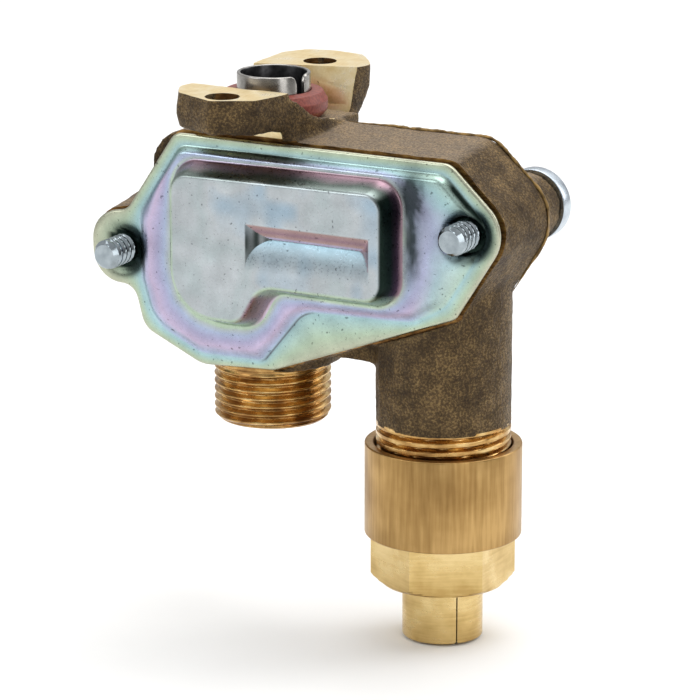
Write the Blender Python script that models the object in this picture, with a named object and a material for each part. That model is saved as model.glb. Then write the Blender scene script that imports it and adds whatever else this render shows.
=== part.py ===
"""Pressure relief valve: a cast brass manifold with a pressed cover and a spring-loaded relief section.

Frame: the origin is on the vertical axis of the top port, level with the machined tops of the two
lugs that bolt to the pipework. +Z is up, +X runs along the cover to the relief stub, -Y is the cover side.
"""
import math

import bmesh
import bpy
from mathutils import Matrix, Vector

MM = 0.001                      # one millimetre in metres
GAP = 0.3                       # clearance between neighbouring solids

# ---- casting (mm) ----
FACE_Y = -11.5                  # machined face that takes the cover
PARTING_Y = 5.6                 # the mould's parting line round the flat casting
REAR_Y = 7.6                    # back of the flat casting
FLARE = 2.0                     # how far the casting grows from its face to the parting line
LUG_TOP = 0.0
LUG_THICK = 7.9
SADDLE_Z = -8.0                 # floor of the seal pocket between the lugs
FRONT_HOLE = (-0.4, -21.9)      # x, y of the front lug hole
REAR_HOLE = (-1.3, 23.5)
LUG_HOLE_R = 3.8
POCKET_R = 12.6                 # seal pocket, towards the front lug
REAR_POCKET_R = 17.2            # the same pocket where it sweeps the rear lug
TOP_BORE_R = 8.5
INLET_X = -0.6                  # axis of the inlet port
INLET_THREAD_R = 13.2           # G 3/4 male thread
INLET_BORE_R = 9.2
INLET_END_Z = -77.2
COLLAR_R = 16.2
COLLAR_END_Z = -63.3
RELIEF_X = 42.75                # axis of the relief stub
STUB_R = 15.0                   # M30 x 2 male thread
STUB_END_Z = -88.0
SPRING_BORE_R = 11.2
SEAT_BORE_R = 5.6
SEAT_SHOULDER_Z = -62.0
LEFT_SCREW = (-31.3, -39.2)     # x, z of the cover screws
RIGHT_SCREW = (54.9, -26.2)
BOSS_R = 7.5
BOSS_END_Y = 17.8
SCREW_COLLAR_R = 8.1

# ---- cover (mm) ----
SHEET = 1.2
COVER_BACK_Y = -12.9
STEP_ONE = 1.6                  # height of the first pressed step
STEP_TWO = 5.8                  # height of the raised chamber
SCREW_R = 3.1
SCREW_TIP_Y = -21.8

# ---- relief section (mm) ----
CAP_R = 17.5
CAP_TOP_Z = -77.3
CAP_ROUND_END_Z = -98.2
HEX_FLATS = 27.9
HEX_END_Z = -109.4
SPIGOT_R = 9.0
SPIGOT_END_Z = -122.0
SPIGOT_BORE_R = 6.4
CAP_THREAD_R = 15.4
CAP_SPRING_R = 10.9
ADJUSTER_R = 8.2
SPRING_R = 7.4                  # mean radius of the relief spring
WIRE_R = 0.75
SPRING_TURNS = 6
LIFT = 3.0                      # full lift of the valve disc

FACETS = 40

# Outlines are corner lists (x, z, corner radius), clockwise seen from the cover side.
COVER_OUTLINE = [
    (-17.4, -11.2, 3.0), (50.9, -11.2, 4.0), (65.4, -24.7, 8.4), (52.4, -45.4, 3.0),
    (7.5, -62.5, 5.0), (-11.0, -63.4, 8.0), (-25.8, -56.7, 5.0), (-28.4, -47.3, 4.0),
    (-38.9, -46.9, 7.2), (-39.4, -31.6, 7.2), (-30.0, -30.0, 4.0),
]
PLATEAU_OUTLINE = [
    (-16.0, -13.9, 3.0), (49.7, -13.9, 3.5), (61.6, -25.0, 6.0), (50.4, -42.6, 4.0),
    (42.5, -47.4, 5.0), (15.6, -48.2, 3.0), (5.2, -60.9, 2.5), (-10.6, -61.2, 8.0),
    (-23.6, -55.2, 5.0), (-26.4, -45.5, 4.0), (-26.9, -31.0, 4.0),
]
RAISED_OUTLINE = [
    (-17.2, -16.0, 7.0), (40.9, -16.0, 6.5), (40.9, -44.6, 7.0), (9.8, -44.6, 2.0),
    (4.4, -53.2, 7.0), (-17.2, -53.2, 13.5),
]
CHAMBER_OUTLINE = [
    (-18.5, -17.5, 5.0), (45.0, -17.5, 5.0), (47.0, -41.5, 5.0), (13.5, -43.5, 3.0),
    (5.5, -57.0, 4.0), (-11.5, -57.5, 7.0), (-20.5, -51.0, 5.0),
]
RAISED_DRAFT = 1.7              # how far the raised walls lean in
FRONT_LUG = [(-13.8, -12.3), (10.9, -12.3), (8.0, -22.6), (-0.5, -27.2), (-10.9, -22.4), (-14.3, -16.2)]
REAR_LUG = [
    (-13.4, 13.8), (9.6, 20.6), (10.8, 25.0), (7.8, 29.8), (3.5, 34.8), (-4.3, 36.2), (-10.6, 34.6), (-14.0, 29.0),
]


def clear_scene():
    for item in list(bpy.data.objects):
        bpy.data.objects.remove(item, do_unlink=True)


def linear(code):
    """sRGB hex to linear RGBA."""
    out = []
    for i in (0, 2, 4):
        value = int(code[i:i + 2], 16) / 255.0
        out.append(value / 12.92 if value <= 0.04045 else ((value + 0.055) / 1.055) ** 2.4)
    return (*out, 1.0)


def finish(name, code, metallic, roughness):
    material = bpy.data.materials.new(name)
    material.use_nodes = True
    shader = material.node_tree.nodes["Principled BSDF"]
    shader.inputs["Base Color"].default_value = linear(code)
    shader.inputs["Metallic"].default_value = metallic
    shader.inputs["Roughness"].default_value = roughness
    return material


def make_materials():
    return {
        "cast": finish("cast_brass", "7A6645", 1.0, 0.55),
        "brass": finish("turned_brass", "C9A55C", 1.0, 0.3),
        "zinc": finish("zinc_passivated", "B9C4C0", 1.0, 0.3),
        "steel": finish("stainless_steel", "A8A5A0", 1.0, 0.28),
        "spring": finish("spring_steel", "8C8F92", 1.0, 0.35),
        "rubber": finish("red_rubber", "A5504B", 0.0, 0.6),
        "black": finish("black_rubber", "24262A", 0.0, 0.6),
        "fibre": finish("gasket_fibre", "5C6F68", 0.0, 0.8),
    }


# ---------------------------------------------------------------- shape helpers
def new_object(name, mesh_tool, material=None):
    bmesh.ops.remove_doubles(mesh_tool, verts=mesh_tool.verts, dist=1e-6)
    bmesh.ops.recalc_face_normals(mesh_tool, faces=mesh_tool.faces)
    mesh = bpy.data.meshes.new(name)
    mesh_tool.to_mesh(mesh)
    mesh_tool.free()
    item = bpy.data.objects.new(name, mesh)
    bpy.context.scene.collection.objects.link(item)
    if material:
        mesh.materials.append(material)
        mesh.shade_smooth()
        mesh.set_sharp_from_angle(angle=math.radians(35))
    return item


def arc_corner(before, corner, after, steps):
    """Points of the fillet that rounds one corner of an outline."""
    here = Vector(corner[:2])
    to_before = (Vector(before[:2]) - here).normalized()
    to_after = (Vector(after[:2]) - here).normalized()
    half = to_before.angle(to_after) / 2
    centre = here + (to_before + to_after).normalized() * corner[2] / math.sin(half)
    start = here + to_before * corner[2] / math.tan(half) - centre
    end = here + to_after * corner[2] / math.tan(half) - centre
    sweep = start.angle_signed(end)
    return [centre + Matrix.Rotation(-sweep * i / steps, 2) @ start for i in range(steps + 1)]


def rounded(outline, steps=6):
    """An outline's points, each corner rounded by its own radius."""
    points = []
    count = len(outline)
    for i, corner in enumerate(outline):
        points += arc_corner(outline[i - 1], corner, outline[(i + 1) % count], steps)
    return points


def offset(points, distance):
    """Moves a clockwise outline outwards by a distance, inwards if it is negative."""
    moved = []
    count = len(points)
    for i, point in enumerate(points):
        along = (points[(i + 1) % count] - points[i - 1]).normalized()
        moved.append(point + Vector((-along.y, along.x)) * distance)
    return moved


def prism(name, points, y_start, y_end, material=None, end_points=None):
    """A plate with its outline in the XZ plane, between two values of Y."""
    tool = bmesh.new()
    ends = end_points or points
    near = [tool.verts.new((p.x * MM, y_start * MM, p.y * MM)) for p in points]
    far = [tool.verts.new((p.x * MM, y_end * MM, p.y * MM)) for p in ends]
    tool.faces.new(near)
    tool.faces.new(far)
    for i in range(len(near)):
        j = (i + 1) % len(near)
        tool.faces.new((near[i], near[j], far[j], far[i]))
    return new_object(name, tool, material)


def turned(name, profile, centre=(0.0, 0.0), material=None, facets=FACETS, along_y=False):
    """A solid turned from a closed profile of (radius, height) about a vertical axis, or one along Y."""
    tool = bmesh.new()
    points = [tool.verts.new((radius * MM, 0.0, height * MM)) for radius, height in profile]
    edges = [tool.edges.new((points[i], points[(i + 1) % len(points)])) for i in range(len(points))]
    on_axis = [e for e in edges if all(v.co.x < 1e-9 for v in e.verts)]
    for edge in on_axis:
        edges.remove(edge)
        tool.edges.remove(edge)
    bmesh.ops.spin(tool, geom=points + edges, cent=(0, 0, 0), axis=(0, 0, 1), dvec=(0, 0, 0),
                   angle=math.tau, steps=facets, use_merge=True)
    if along_y:
        tool.transform(Matrix.Rotation(-math.pi / 2, 4, "X"))
        tool.transform(Matrix.Translation((centre[0] * MM, 0, centre[1] * MM)))
    else:
        tool.transform(Matrix.Translation((centre[0] * MM, centre[1] * MM, 0)))
    return new_object(name, tool, material)


def rod(name, radius, low, high, centre=(0.0, 0.0), material=None, facets=FACETS, along_y=False):
    profile = [(0, low), (radius, low), (radius, high), (0, high)]
    return turned(name, profile, centre, material, facets, along_y)


def hull(name, corners, material=None):
    """The convex solid around a list of corners."""
    tool = bmesh.new()
    for corner in corners:
        tool.verts.new([value * MM for value in corner])
    result = bmesh.ops.convex_hull(tool, input=tool.verts)
    spare = [g for g in result["geom_interior"] if isinstance(g, bmesh.types.BMVert)]
    bmesh.ops.delete(tool, geom=spare, context="VERTS")
    return new_object(name, tool, material)


def combine(target, other, operation="DIFFERENCE"):
    """Adds a shape to the group that one Boolean step joins to the target, or cuts from it."""
    name = target.name + "_" + operation.lower()
    step = target.modifiers.get(name)
    if step is None:
        step = target.modifiers.new(name, "BOOLEAN")
        step.operation = operation
        step.solver = "EXACT"
        step.operand_type = "COLLECTION"
        step.collection = bpy.data.collections.new(name)
    step.collection.objects.link(other)
    other.hide_render = True
    other.display_type = "WIRE"


# ---------------------------------------------------------------- the casting
def make_body(materials):
    outline = offset(rounded(COVER_OUTLINE), 0.3)
    widest = offset(outline, FLARE)
    body = prism("valve_body", outline, FACE_Y, PARTING_Y, materials["cast"], end_points=widest)
    back = prism("body_back", offset(widest, -0.1), PARTING_Y - 0.2, REAR_Y, end_points=offset(outline, 0.2))
    combine(body, back, "UNION")
    add_body_masses(body)
    cover_room = prism("cover_room", offset(outline, 0.4), FACE_Y - 30, FACE_Y)
    milled_step = [(x, y, z) for x in (-12.4, 9.4) for y in (FACE_Y - 2.4, FACE_Y) for z in (-14.0, -8.4)]
    add_lugs(body)
    combine(body, cover_room)
    combine(body, hull("milled_step", milled_step))
    cut_passages(body)
    return body


def add_body_masses(body):
    """The port boss, collar, stub and screw bosses that swell out of the flat casting."""
    relief = (RELIEF_X, 0.0)
    inlet = (INLET_X, 0.0)
    collar = [(0, COLLAR_END_Z), (COLLAR_R, COLLAR_END_Z), (COLLAR_R, -50), (12.0, -42), (0, -42)]
    inlet_end = [(0, COLLAR_END_Z + 1), (INLET_THREAD_R, COLLAR_END_Z + 1)]
    inlet_end += [(INLET_THREAD_R, INLET_END_Z + 1.2), (INLET_THREAD_R - 1.2, INLET_END_Z), (0, INLET_END_Z)]
    stub = [(0, -28), (9.0, -29.5), (STUB_R, -38), (STUB_R, STUB_END_Z + 1.2)]
    stub += [(STUB_R - 1.2, STUB_END_Z), (0, STUB_END_Z)]
    combine(body, turned("port_boss", [(0, -34), (13.5, -30), (13.5, SADDLE_Z - 0.9), (0, SADDLE_Z - 0.9)]), "UNION")
    combine(body, turned("inlet_collar", collar, inlet), "UNION")
    combine(body, turned("inlet_spout", inlet_end, inlet), "UNION")
    combine(body, turned("relief_stub", stub, relief), "UNION")
    web = [(x, y, z) for x in (8, 34) for y in (-6, 6) for z in (-60, -50)]
    combine(body, hull("lower_web", web), "UNION")
    for name, place in (("left", LEFT_SCREW), ("right", RIGHT_SCREW)):
        boss = rod(name + "_boss", BOSS_R, REAR_Y - 5, BOSS_END_Y, place, along_y=True)
        combine(body, boss, "UNION")
    bulge = [(0, -3), (8.6, -3), (8.6, 7.5), (6.6, 9.5), (0, 9.5)]
    combine(body, turned("left_bulge", bulge, (-21.4, -22.0), along_y=True), "UNION")


def add_lugs(body):
    """The two bolted lugs, with the flanks that carry them down to the casting."""
    low = LUG_TOP - LUG_THICK
    middle = offset([Vector(corner) for corner in FRONT_LUG], 0.7)
    front = [(x, y, LUG_TOP) for x, y in FRONT_LUG] + [(x, y, low) for x, y in FRONT_LUG]
    front += [(x, y, z) for x, y in middle for z in (-2.8, -5.2)]
    combine(body, hull("front_lug", front), "UNION")
    root = [(x, -10.0, z) for x in (-13.0, 9.9) for z in (SADDLE_Z - 4.5, -2.0)]
    root += [(x, -14.6, z) for x in (-13.0, 9.9) for z in (low + 0.2, -2.0)]
    root += [(x, -12.6, z) for x in (-13.0, 9.9) for z in (SADDLE_Z - 3.5, -2.0)]
    combine(body, hull("front_lug_root", root), "UNION")
    crest = [(-12.9, 10.8, -0.4), (-10.0, 11.9, -2.2), (-5.0, 13.4, -6.2), (4.0, 14.6, -7.9), (13.0, 14.6, -8.3)]
    for name, side in (("right", 1.0), ("left", -1.0)):
        for i in range(len(crest) - 1):
            flank = [(side * x, y, z) for y, far, top in crest[i:i + 2] for x in (6.0, far) for z in (-13.5, top)]
            combine(body, hull(name + "_flank_" + str(i), flank), "UNION")
    rear = [(x, y, LUG_TOP) for x, y in REAR_LUG]
    rear += [(-13.2, 10.2, -10.5), (9.8, 16.8, -10.5), (9.8, 20.0, -12.7), (-13.4, 20.0, -12.7)]
    rear += [(10.6, 25.4, -5.0), (3.6, 34.6, -4.6), (-4.3, 36.0, -4.6), (-10.4, 34.4, -4.6), (-13.9, 28.8, -4.6)]
    combine(body, hull("rear_lug", rear), "UNION")
    gusset = [(x, y, z) for x in (-12.7, 9.4) for y, z in ((4, -9.8), (20, -12.2), (17, -21), (4, -36))]
    combine(body, hull("rear_gusset", gusset), "UNION")


def arc_point(radius, degrees):
    """A point at an angle around the top port's axis."""
    angle = math.radians(degrees)
    return radius * math.cos(angle), radius * math.sin(angle)


def cut_passages(body):
    """Seal pocket, lug holes, ports, cover chamber, relief bores and screw holes."""
    relief = (RELIEF_X, 0.0)
    pocket = [arc_point(POCKET_R, angle) for angle in range(200, 341, 10)]
    pocket += [arc_point(REAR_POCKET_R, angle) for angle in range(25, 156, 10)]
    combine(body, hull("seal_pocket", [(x, y, z) for x, y in pocket for z in (SADDLE_Z, 4)]))
    for name, place in (("front_hole", FRONT_HOLE), ("rear_hole", REAR_HOLE)):
        combine(body, rod(name, LUG_HOLE_R, -30, 4, place, facets=28))
    combine(body, rod("top_bore", TOP_BORE_R, -28, SADDLE_Z + 1))
    combine(body, rod("inlet_bore", INLET_BORE_R, INLET_END_Z - 3, -52.6, (INLET_X, 0.0)))
    spring_bore = [(0, STUB_END_Z - 3), (SPRING_BORE_R, STUB_END_Z - 3), (SPRING_BORE_R, SEAT_SHOULDER_Z)]
    spring_bore += [(SEAT_BORE_R, SEAT_SHOULDER_Z), (SEAT_BORE_R, -36.3), (0, -36.3)]
    combine(body, turned("relief_bore", spring_bore, relief))
    for name, place in (("left_hole", LEFT_SCREW), ("right_hole", RIGHT_SCREW)):
        combine(body, rod(name, SCREW_R + GAP, -20, 24, place, facets=28, along_y=True))
    combine(body, prism("cover_chamber", rounded(CHAMBER_OUTLINE, 4), FACE_Y - 3, 1.9))


# ---------------------------------------------------------------- the cover
def make_cover(materials):
    """A pressed sheet: a flat lip, a low step and a deep raised chamber, hollow behind."""
    lip_y = COVER_BACK_Y - SHEET
    step_y = lip_y - STEP_ONE
    top_y = step_y - STEP_TWO
    plateau = rounded(PLATEAU_OUTLINE)
    raised = rounded(RAISED_OUTLINE)
    cover = prism("front_cover", rounded(COVER_OUTLINE), lip_y, COVER_BACK_Y, materials["zinc"])
    step = prism("step_outer", offset(plateau, -0.8), step_y, lip_y + 0.4, end_points=offset(plateau, 0.2))
    crown = prism("crown_outer", offset(raised, -RAISED_DRAFT), top_y, step_y + 0.4,
                  end_points=offset(raised, 0.1))
    combine(cover, step, "UNION")
    combine(cover, crown, "UNION")
    step_room = prism("step_inner", offset(plateau, -1.8), step_y + SHEET, COVER_BACK_Y + 1,
                      end_points=offset(plateau, -1.2))
    crown_room = prism("crown_inner", offset(raised, -RAISED_DRAFT - SHEET), top_y + SHEET, COVER_BACK_Y + 1,
                       end_points=offset(raised, -SHEET))
    combine(cover, step_room)
    combine(cover, crown_room)
    for name, place in (("cover_left_hole", LEFT_SCREW), ("cover_right_hole", RIGHT_SCREW)):
        combine(cover, rod(name, SCREW_R + GAP, -26, -8, place, facets=28, along_y=True))
    return cover


def make_gasket(materials):
    thickness = FACE_Y - COVER_BACK_Y - 2 * GAP
    start = FACE_Y - GAP
    outer = offset(rounded(COVER_OUTLINE), -1.5)
    gasket = prism("cover_gasket", outer, start - thickness, start, materials["fibre"])
    combine(gasket, prism("gasket_window", offset(rounded(CHAMBER_OUTLINE, 4), 1.0), -20, 0))
    for name, place in (("gasket_left_hole", LEFT_SCREW), ("gasket_right_hole", RIGHT_SCREW)):
        combine(gasket, rod(name, SCREW_R + 2 * GAP, -20, 0, place, facets=28, along_y=True))


def make_cover_screws(materials):
    """Two screws that come through the casting from behind, each with a flanged collar."""
    collar_start = BOSS_END_Y + GAP
    collar_end = collar_start + 4.0
    head_start = collar_end + GAP
    for side, place in (("left", LEFT_SCREW), ("right", RIGHT_SCREW)):
        ring = [(SCREW_R + GAP, collar_start), (SCREW_COLLAR_R, collar_start), (SCREW_COLLAR_R, collar_end - 0.6),
                (SCREW_COLLAR_R - 0.6, collar_end), (SCREW_R + GAP, collar_end)]
        turned("screw_collar_" + side, ring, place, materials["zinc"], along_y=True)
        shank = rod("cover_screw_" + side, SCREW_R, SCREW_TIP_Y, head_start + 1, place,
                    materials["zinc"], 28, along_y=True)
        head = rod(side + "_head", 9.0 / math.sqrt(3), head_start, head_start + 2.2, place,
                   facets=6, along_y=True)
        combine(shank, head, "UNION")


# ---------------------------------------------------------------- the top port
def make_port_parts(materials):
    """The split sleeve that locates the pipe, and the lipped seal around it."""
    top = 1.9
    wall = [(7.3, -23), (8.2, -23), (8.2, top), (7.3, top)]
    sleeve = turned("locating_sleeve", wall, material=materials["steel"])
    slot = hull("sleeve_slot", [(x, y, z) for x in (4, 12) for y in (-1.2, 1.2) for z in (-26, 6)])
    slot.rotation_euler.z = math.radians(-14)
    combine(sleeve, slot)
    ring = [(8.5, -7.7), (10.8, -7.7), (12.0, -6.3), (12.0, -4.2), (10.9, -2.3), (8.5, -2.0)]
    turned("port_seal", ring, material=materials["rubber"])


# ---------------------------------------------------------------- the relief section
def empty_on_axis(name, height):
    holder = bpy.data.objects.new(name, None)
    holder.location = (RELIEF_X * MM, 0, height * MM)
    bpy.context.scene.collection.objects.link(holder)
    return holder


def attach(child, holder):
    bpy.context.view_layer.update()
    child.parent = holder
    child.matrix_parent_inverse = holder.matrix_world.inverted()


def make_poppet(materials):
    """The lifting valve: a rubber washer on a disc, its nut, its stem and the upper spring cup."""
    relief = (RELIEF_X, 0.0)
    holder = empty_on_axis("poppet_axis", -65.0)
    seat = [(5.6, -65), (7.2, -65), (7.2, -64), (10.9, -64), (10.9, -62.3), (5.6, -62.3)]
    turned("seat_ring", seat, relief, materials["steel"])
    washer = [(1.9, -67.3), (8.2, -67.3), (8.2, -65.3), (1.9, -65.3)]
    disc = [(1.9, -69.4), (9.2, -69.4), (9.2, -66.0), (8.5, -66.0), (8.5, -67.6), (1.9, -67.6)]
    nut = [(1.9, -65.0), (3.9, -65.0), (3.9, -62.6), (1.9, -62.6)]
    cup = [(1.9, -74.0), (5.6, -74.0), (6.1, -71.2), (9.4, -71.2), (9.4, -69.7), (1.9, -69.7)]
    moving = [
        turned("disc_washer", washer, relief, materials["black"]),
        turned("valve_disc", disc, relief, materials["brass"]),
        turned("disc_nut", nut, relief, materials["brass"], 6),
        rod("valve_stem", 1.6, -90.5, -61.8, relief, materials["steel"], 20),
        turned("upper_spring_cup", cup, relief, materials["steel"]),
    ]
    for piece in moving:
        attach(piece, holder)


def make_spring(materials):
    """A round-wire compression spring whose end turns lie closed."""
    top = -71.5 - WIRE_R
    bottom = -93.7 + WIRE_R
    curve = bpy.data.curves.new("relief_spring", "CURVE")
    curve.dimensions = "3D"
    curve.bevel_depth = WIRE_R * MM
    curve.bevel_resolution = 1
    curve.use_fill_caps = True
    line = curve.splines.new("POLY")
    count = SPRING_TURNS * 20
    line.points.add(count)
    for i in range(count + 1):
        part = i / count
        angle = math.tau * SPRING_TURNS * part
        height = top + (bottom - top) * part
        place = (RELIEF_X + SPRING_R * math.cos(angle), SPRING_R * math.sin(angle), height)
        line.points[i].co = (*[value * MM for value in place], 1.0)
    spring = bpy.data.objects.new("relief_spring", curve)
    curve.materials.append(materials["spring"])
    bpy.context.scene.collection.objects.link(spring)


def make_adjuster(materials):
    """The hollow screw that sets the spring, and the notched seat it pushes up."""
    relief = (RELIEF_X, 0.0)
    holder = empty_on_axis("adjuster_axis", -100.0)
    seat_profile = [(2.6, -96.0), (9.8, -96.0), (9.8, -94.0), (6.0, -94.0), (5.6, -92.0), (2.6, -92.0)]
    seat = turned("spring_seat", seat_profile, relief, materials["steel"])
    for i in range(6):
        angle = math.tau * (i + 0.27) / 6
        notch = rod("seat_notch_%d" % i, 1.8, -99, -90, facets=16)
        notch.location = ((RELIEF_X + 8.9 * math.cos(angle)) * MM, 8.9 * math.sin(angle) * MM, 0)
        combine(seat, notch)
    screw = rod("adjusting_screw", ADJUSTER_R, -107.5, -96.3, relief, materials["brass"])
    socket = rod("key_socket", 8.0 / math.sqrt(3), -110, -90, relief, facets=6)
    combine(screw, socket)
    for piece in (seat, screw):
        attach(piece, holder)


def make_cap(materials):
    """The cap nut: a round skirt, a hexagon and a slit outlet spigot."""
    relief = (RELIEF_X, 0.0)
    skirt = [(0, CAP_ROUND_END_Z), (CAP_R, CAP_ROUND_END_Z), (CAP_R, CAP_TOP_Z), (0, CAP_TOP_Z)]
    cap = turned("spring_cap", skirt, relief, materials["brass"], 48)
    hexagon = rod("cap_hexagon", HEX_FLATS / math.sqrt(3), HEX_END_Z, CAP_ROUND_END_Z + 1, facets=6)
    hexagon.location = (RELIEF_X * MM, 0, 0)
    hexagon.rotation_euler.z = math.radians(30)
    combine(cap, hexagon, "UNION")
    spigot = [(0, SPIGOT_END_Z), (SPIGOT_R - 0.8, SPIGOT_END_Z), (SPIGOT_R, SPIGOT_END_Z + 0.8),
              (SPIGOT_R, HEX_END_Z + 1), (0, HEX_END_Z + 1)]
    combine(cap, turned("cap_spigot", spigot, relief), "UNION")
    bore = [(0, SPIGOT_END_Z - 2), (SPIGOT_BORE_R, SPIGOT_END_Z - 2), (SPIGOT_BORE_R, -110.5),
            (ADJUSTER_R + GAP, -110.5), (ADJUSTER_R + GAP, -99), (CAP_SPRING_R, -98.5),
            (CAP_SPRING_R, -90.6), (CAP_THREAD_R, -90.6), (CAP_THREAD_R, CAP_TOP_Z + 2), (0, CAP_TOP_Z + 2)]
    combine(cap, turned("cap_bore", bore, relief))
    slit = hull("spigot_slit", [(x, y, z) for x in (4, 14) for y in (-0.25, 0.25) for z in (-126, -112.4)])
    slit.location = (RELIEF_X * MM, 0, 0)
    slit.rotation_euler.z = math.radians(-40)
    combine(cap, slit)
    seal = [(SPRING_BORE_R + 0.2, -90.3), (CAP_THREAD_R - 0.4, -90.3), (CAP_THREAD_R - 0.4, -88.3),
            (SPRING_BORE_R + 0.2, -88.3)]
    turned("cap_seal", seal, relief, materials["fibre"])


def main():
    clear_scene()
    materials = make_materials()
    make_body(materials)
    make_cover(materials)
    make_gasket(materials)
    make_cover_screws(materials)
    make_port_parts(materials)
    make_poppet(materials)
    make_spring(materials)
    make_adjuster(materials)
    make_cap(materials)


main()
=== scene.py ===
"""Looks of a pressure relief valve: sand-cast body, pressed cover, threads, seal, sleeve and cap nut.

Sizes inside the functions are in millimetres in the frame of the CAD model; meshes are put in metres.
"""
import math

import bmesh
import bpy
import numpy as np
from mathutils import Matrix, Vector


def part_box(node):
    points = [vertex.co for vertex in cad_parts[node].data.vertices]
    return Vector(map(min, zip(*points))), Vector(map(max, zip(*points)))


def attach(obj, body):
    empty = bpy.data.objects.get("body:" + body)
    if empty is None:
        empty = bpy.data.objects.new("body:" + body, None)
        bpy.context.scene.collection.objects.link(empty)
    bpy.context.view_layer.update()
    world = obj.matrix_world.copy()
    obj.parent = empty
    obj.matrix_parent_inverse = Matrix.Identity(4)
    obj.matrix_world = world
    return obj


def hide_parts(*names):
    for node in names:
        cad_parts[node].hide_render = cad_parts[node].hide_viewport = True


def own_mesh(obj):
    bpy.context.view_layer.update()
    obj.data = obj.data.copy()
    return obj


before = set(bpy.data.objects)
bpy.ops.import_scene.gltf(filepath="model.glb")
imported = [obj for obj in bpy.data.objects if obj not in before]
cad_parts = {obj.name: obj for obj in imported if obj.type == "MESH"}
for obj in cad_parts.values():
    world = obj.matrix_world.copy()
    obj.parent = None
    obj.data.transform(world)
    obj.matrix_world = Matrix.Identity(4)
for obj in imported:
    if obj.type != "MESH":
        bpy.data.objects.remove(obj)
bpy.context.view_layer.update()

bl_info = {
    "name": "Pressure Relief Valve",
    "version": (1, 0, 0),
    "blender": (4, 5, 0),
    "location": "View3D > Sidebar > Valve",
    "description": "Builds the visible surfaces of a cast brass pressure relief valve",
    "category": "Object",
}

MM = 0.001


def node_box(node):
    """Lowest and highest corners of a CAD node, in millimetres."""
    low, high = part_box(node)
    return np.array(low) / MM, np.array(high) / MM


# Places that the CAD model already settles.
BODY_LOW, BODY_HIGH = node_box("valve_body")
CAP_LOW, CAP_HIGH = node_box("spring_cap")
SLEEVE_LOW, SLEEVE_HIGH = node_box("locating_sleeve")
SEAL_LOW, SEAL_HIGH = node_box("port_seal")
COVER_HIGH = node_box("front_cover")[1]
SPRING_LOW, SPRING_HIGH = node_box("relief_spring")
SCREWS = {side: node_box("cover_screw_" + side) for side in ("left", "right")}
SCREW_AXES = {side: ((low[0] + high[0]) / 2, (low[2] + high[2]) / 2) for side, (low, high) in SCREWS.items()}
COLLARS = {side: node_box("screw_collar_" + side) for side in ("left", "right")}
STUB_X = (CAP_LOW[0] + CAP_HIGH[0]) / 2
FLOOR_Z = CAP_LOW[2]

FACE_Y = -11.5                  # machined face behind the cover
PARTING_Y = 5.6                 # parting line of the flat casting
SADDLE_Z = -8.0                 # floor of the seal pocket
INLET = (-0.6, 0.0)             # axis of the inlet port
COLLAR_END_Z = -63.3
INLET_END_Z = -77.2
INLET_R = 13.2
INLET_BORE_R = 9.2
STUB_R = 15.0
STUB_THREAD_Z = -72.4
STUB_END_Z = -88.0
STUB_BORE_R = 11.2
HOLE_R = 3.8
LATHE_R = 19.0                  # everything the lathe clears round a spout
COVER_ROOM = 0.75               # room that the machined face leaves round the cover
FRONT_HOLE = (-0.4, -21.9)
REAR_HOLE = (-1.3, 23.5)
SCREW_R = 3.1
LIP_Y = COVER_HIGH[1] - 1.2     # front of the cover's flat lip
STEP_ONE = 1.6                  # height of the low step, then of the raised wall
STEP_TWO = 5.8
CAP_R = 17.5
SKIRT_END_Z = -98.2
HEX_END_Z = -109.4
HEX_FLATS = 27.9
SPIGOT_R = 9.0
SPIGOT_BORE_R = 6.4
SCREW_ROOM = (8.4, -110.5)      # radius and floor of the room above the spigot's bore

# Outlines are corner lists (x, z, corner radius), clockwise seen from the cover side.
COVER_OUTLINE = [
    (-17.4, -11.2, 3.0), (50.9, -11.2, 4.0), (65.4, -24.7, 8.4), (52.4, -45.4, 3.0),
    (7.5, -62.5, 5.0), (-11.0, -63.4, 8.0), (-25.8, -56.7, 5.0), (-28.4, -47.3, 4.0),
    (-38.9, -46.9, 7.2), (-39.4, -31.6, 7.2), (-30.0, -30.0, 4.0),
]
PLATEAU_OUTLINE = [
    (-16.0, -13.4, 4.0), (49.9, -13.2, 4.5), (61.8, -24.9, 6.5), (50.4, -42.9, 6.0),
    (42.5, -47.6, 8.0), (15.6, -48.4, 6.0), (5.2, -61.1, 3.5), (-10.6, -61.4, 11.0),
    (-24.0, -55.4, 10.0), (-27.0, -45.5, 8.0), (-27.4, -30.6, 7.0),
]
RAISED_OUTLINE = [
    (-17.2, -15.9, 7.0), (40.9, -15.2, 6.5), (40.9, -44.7, 7.0), (9.6, -44.7, 4.0),
    (4.6, -53.4, 7.0), (-17.2, -53.4, 13.5),
]
COVER_MIDDLE = np.array([5.0, -35.0])   # every outline of the cover is seen whole from here
FAN_START, FAN_END = 4.6, 35.4          # ends of the trough along X
TROUGH_Z = -31.0


# ---------------------------------------------------------------- shape helpers
def arc_corner(before, corner, after, steps):
    """Fillet points of one corner: the circle of its radius that touches both sides."""
    here = np.array(corner[:2])
    first = np.array(before[:2]) - here
    second = np.array(after[:2]) - here
    first = first / np.linalg.norm(first)
    second = second / np.linalg.norm(second)
    half = math.acos(np.clip(first @ second, -1, 1)) / 2
    middle = (first + second) / np.linalg.norm(first + second)
    centre = here + middle * corner[2] / math.sin(half)
    start = here + first * corner[2] / math.tan(half) - centre
    end = here + second * corner[2] / math.tan(half) - centre
    sweep = math.atan2(start[0] * end[1] - start[1] * end[0], start @ end)
    turn = np.linspace(0, sweep, steps + 1)
    return centre + np.stack([start[0] * np.cos(turn) - start[1] * np.sin(turn),
                              start[0] * np.sin(turn) + start[1] * np.cos(turn)], 1)


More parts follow.
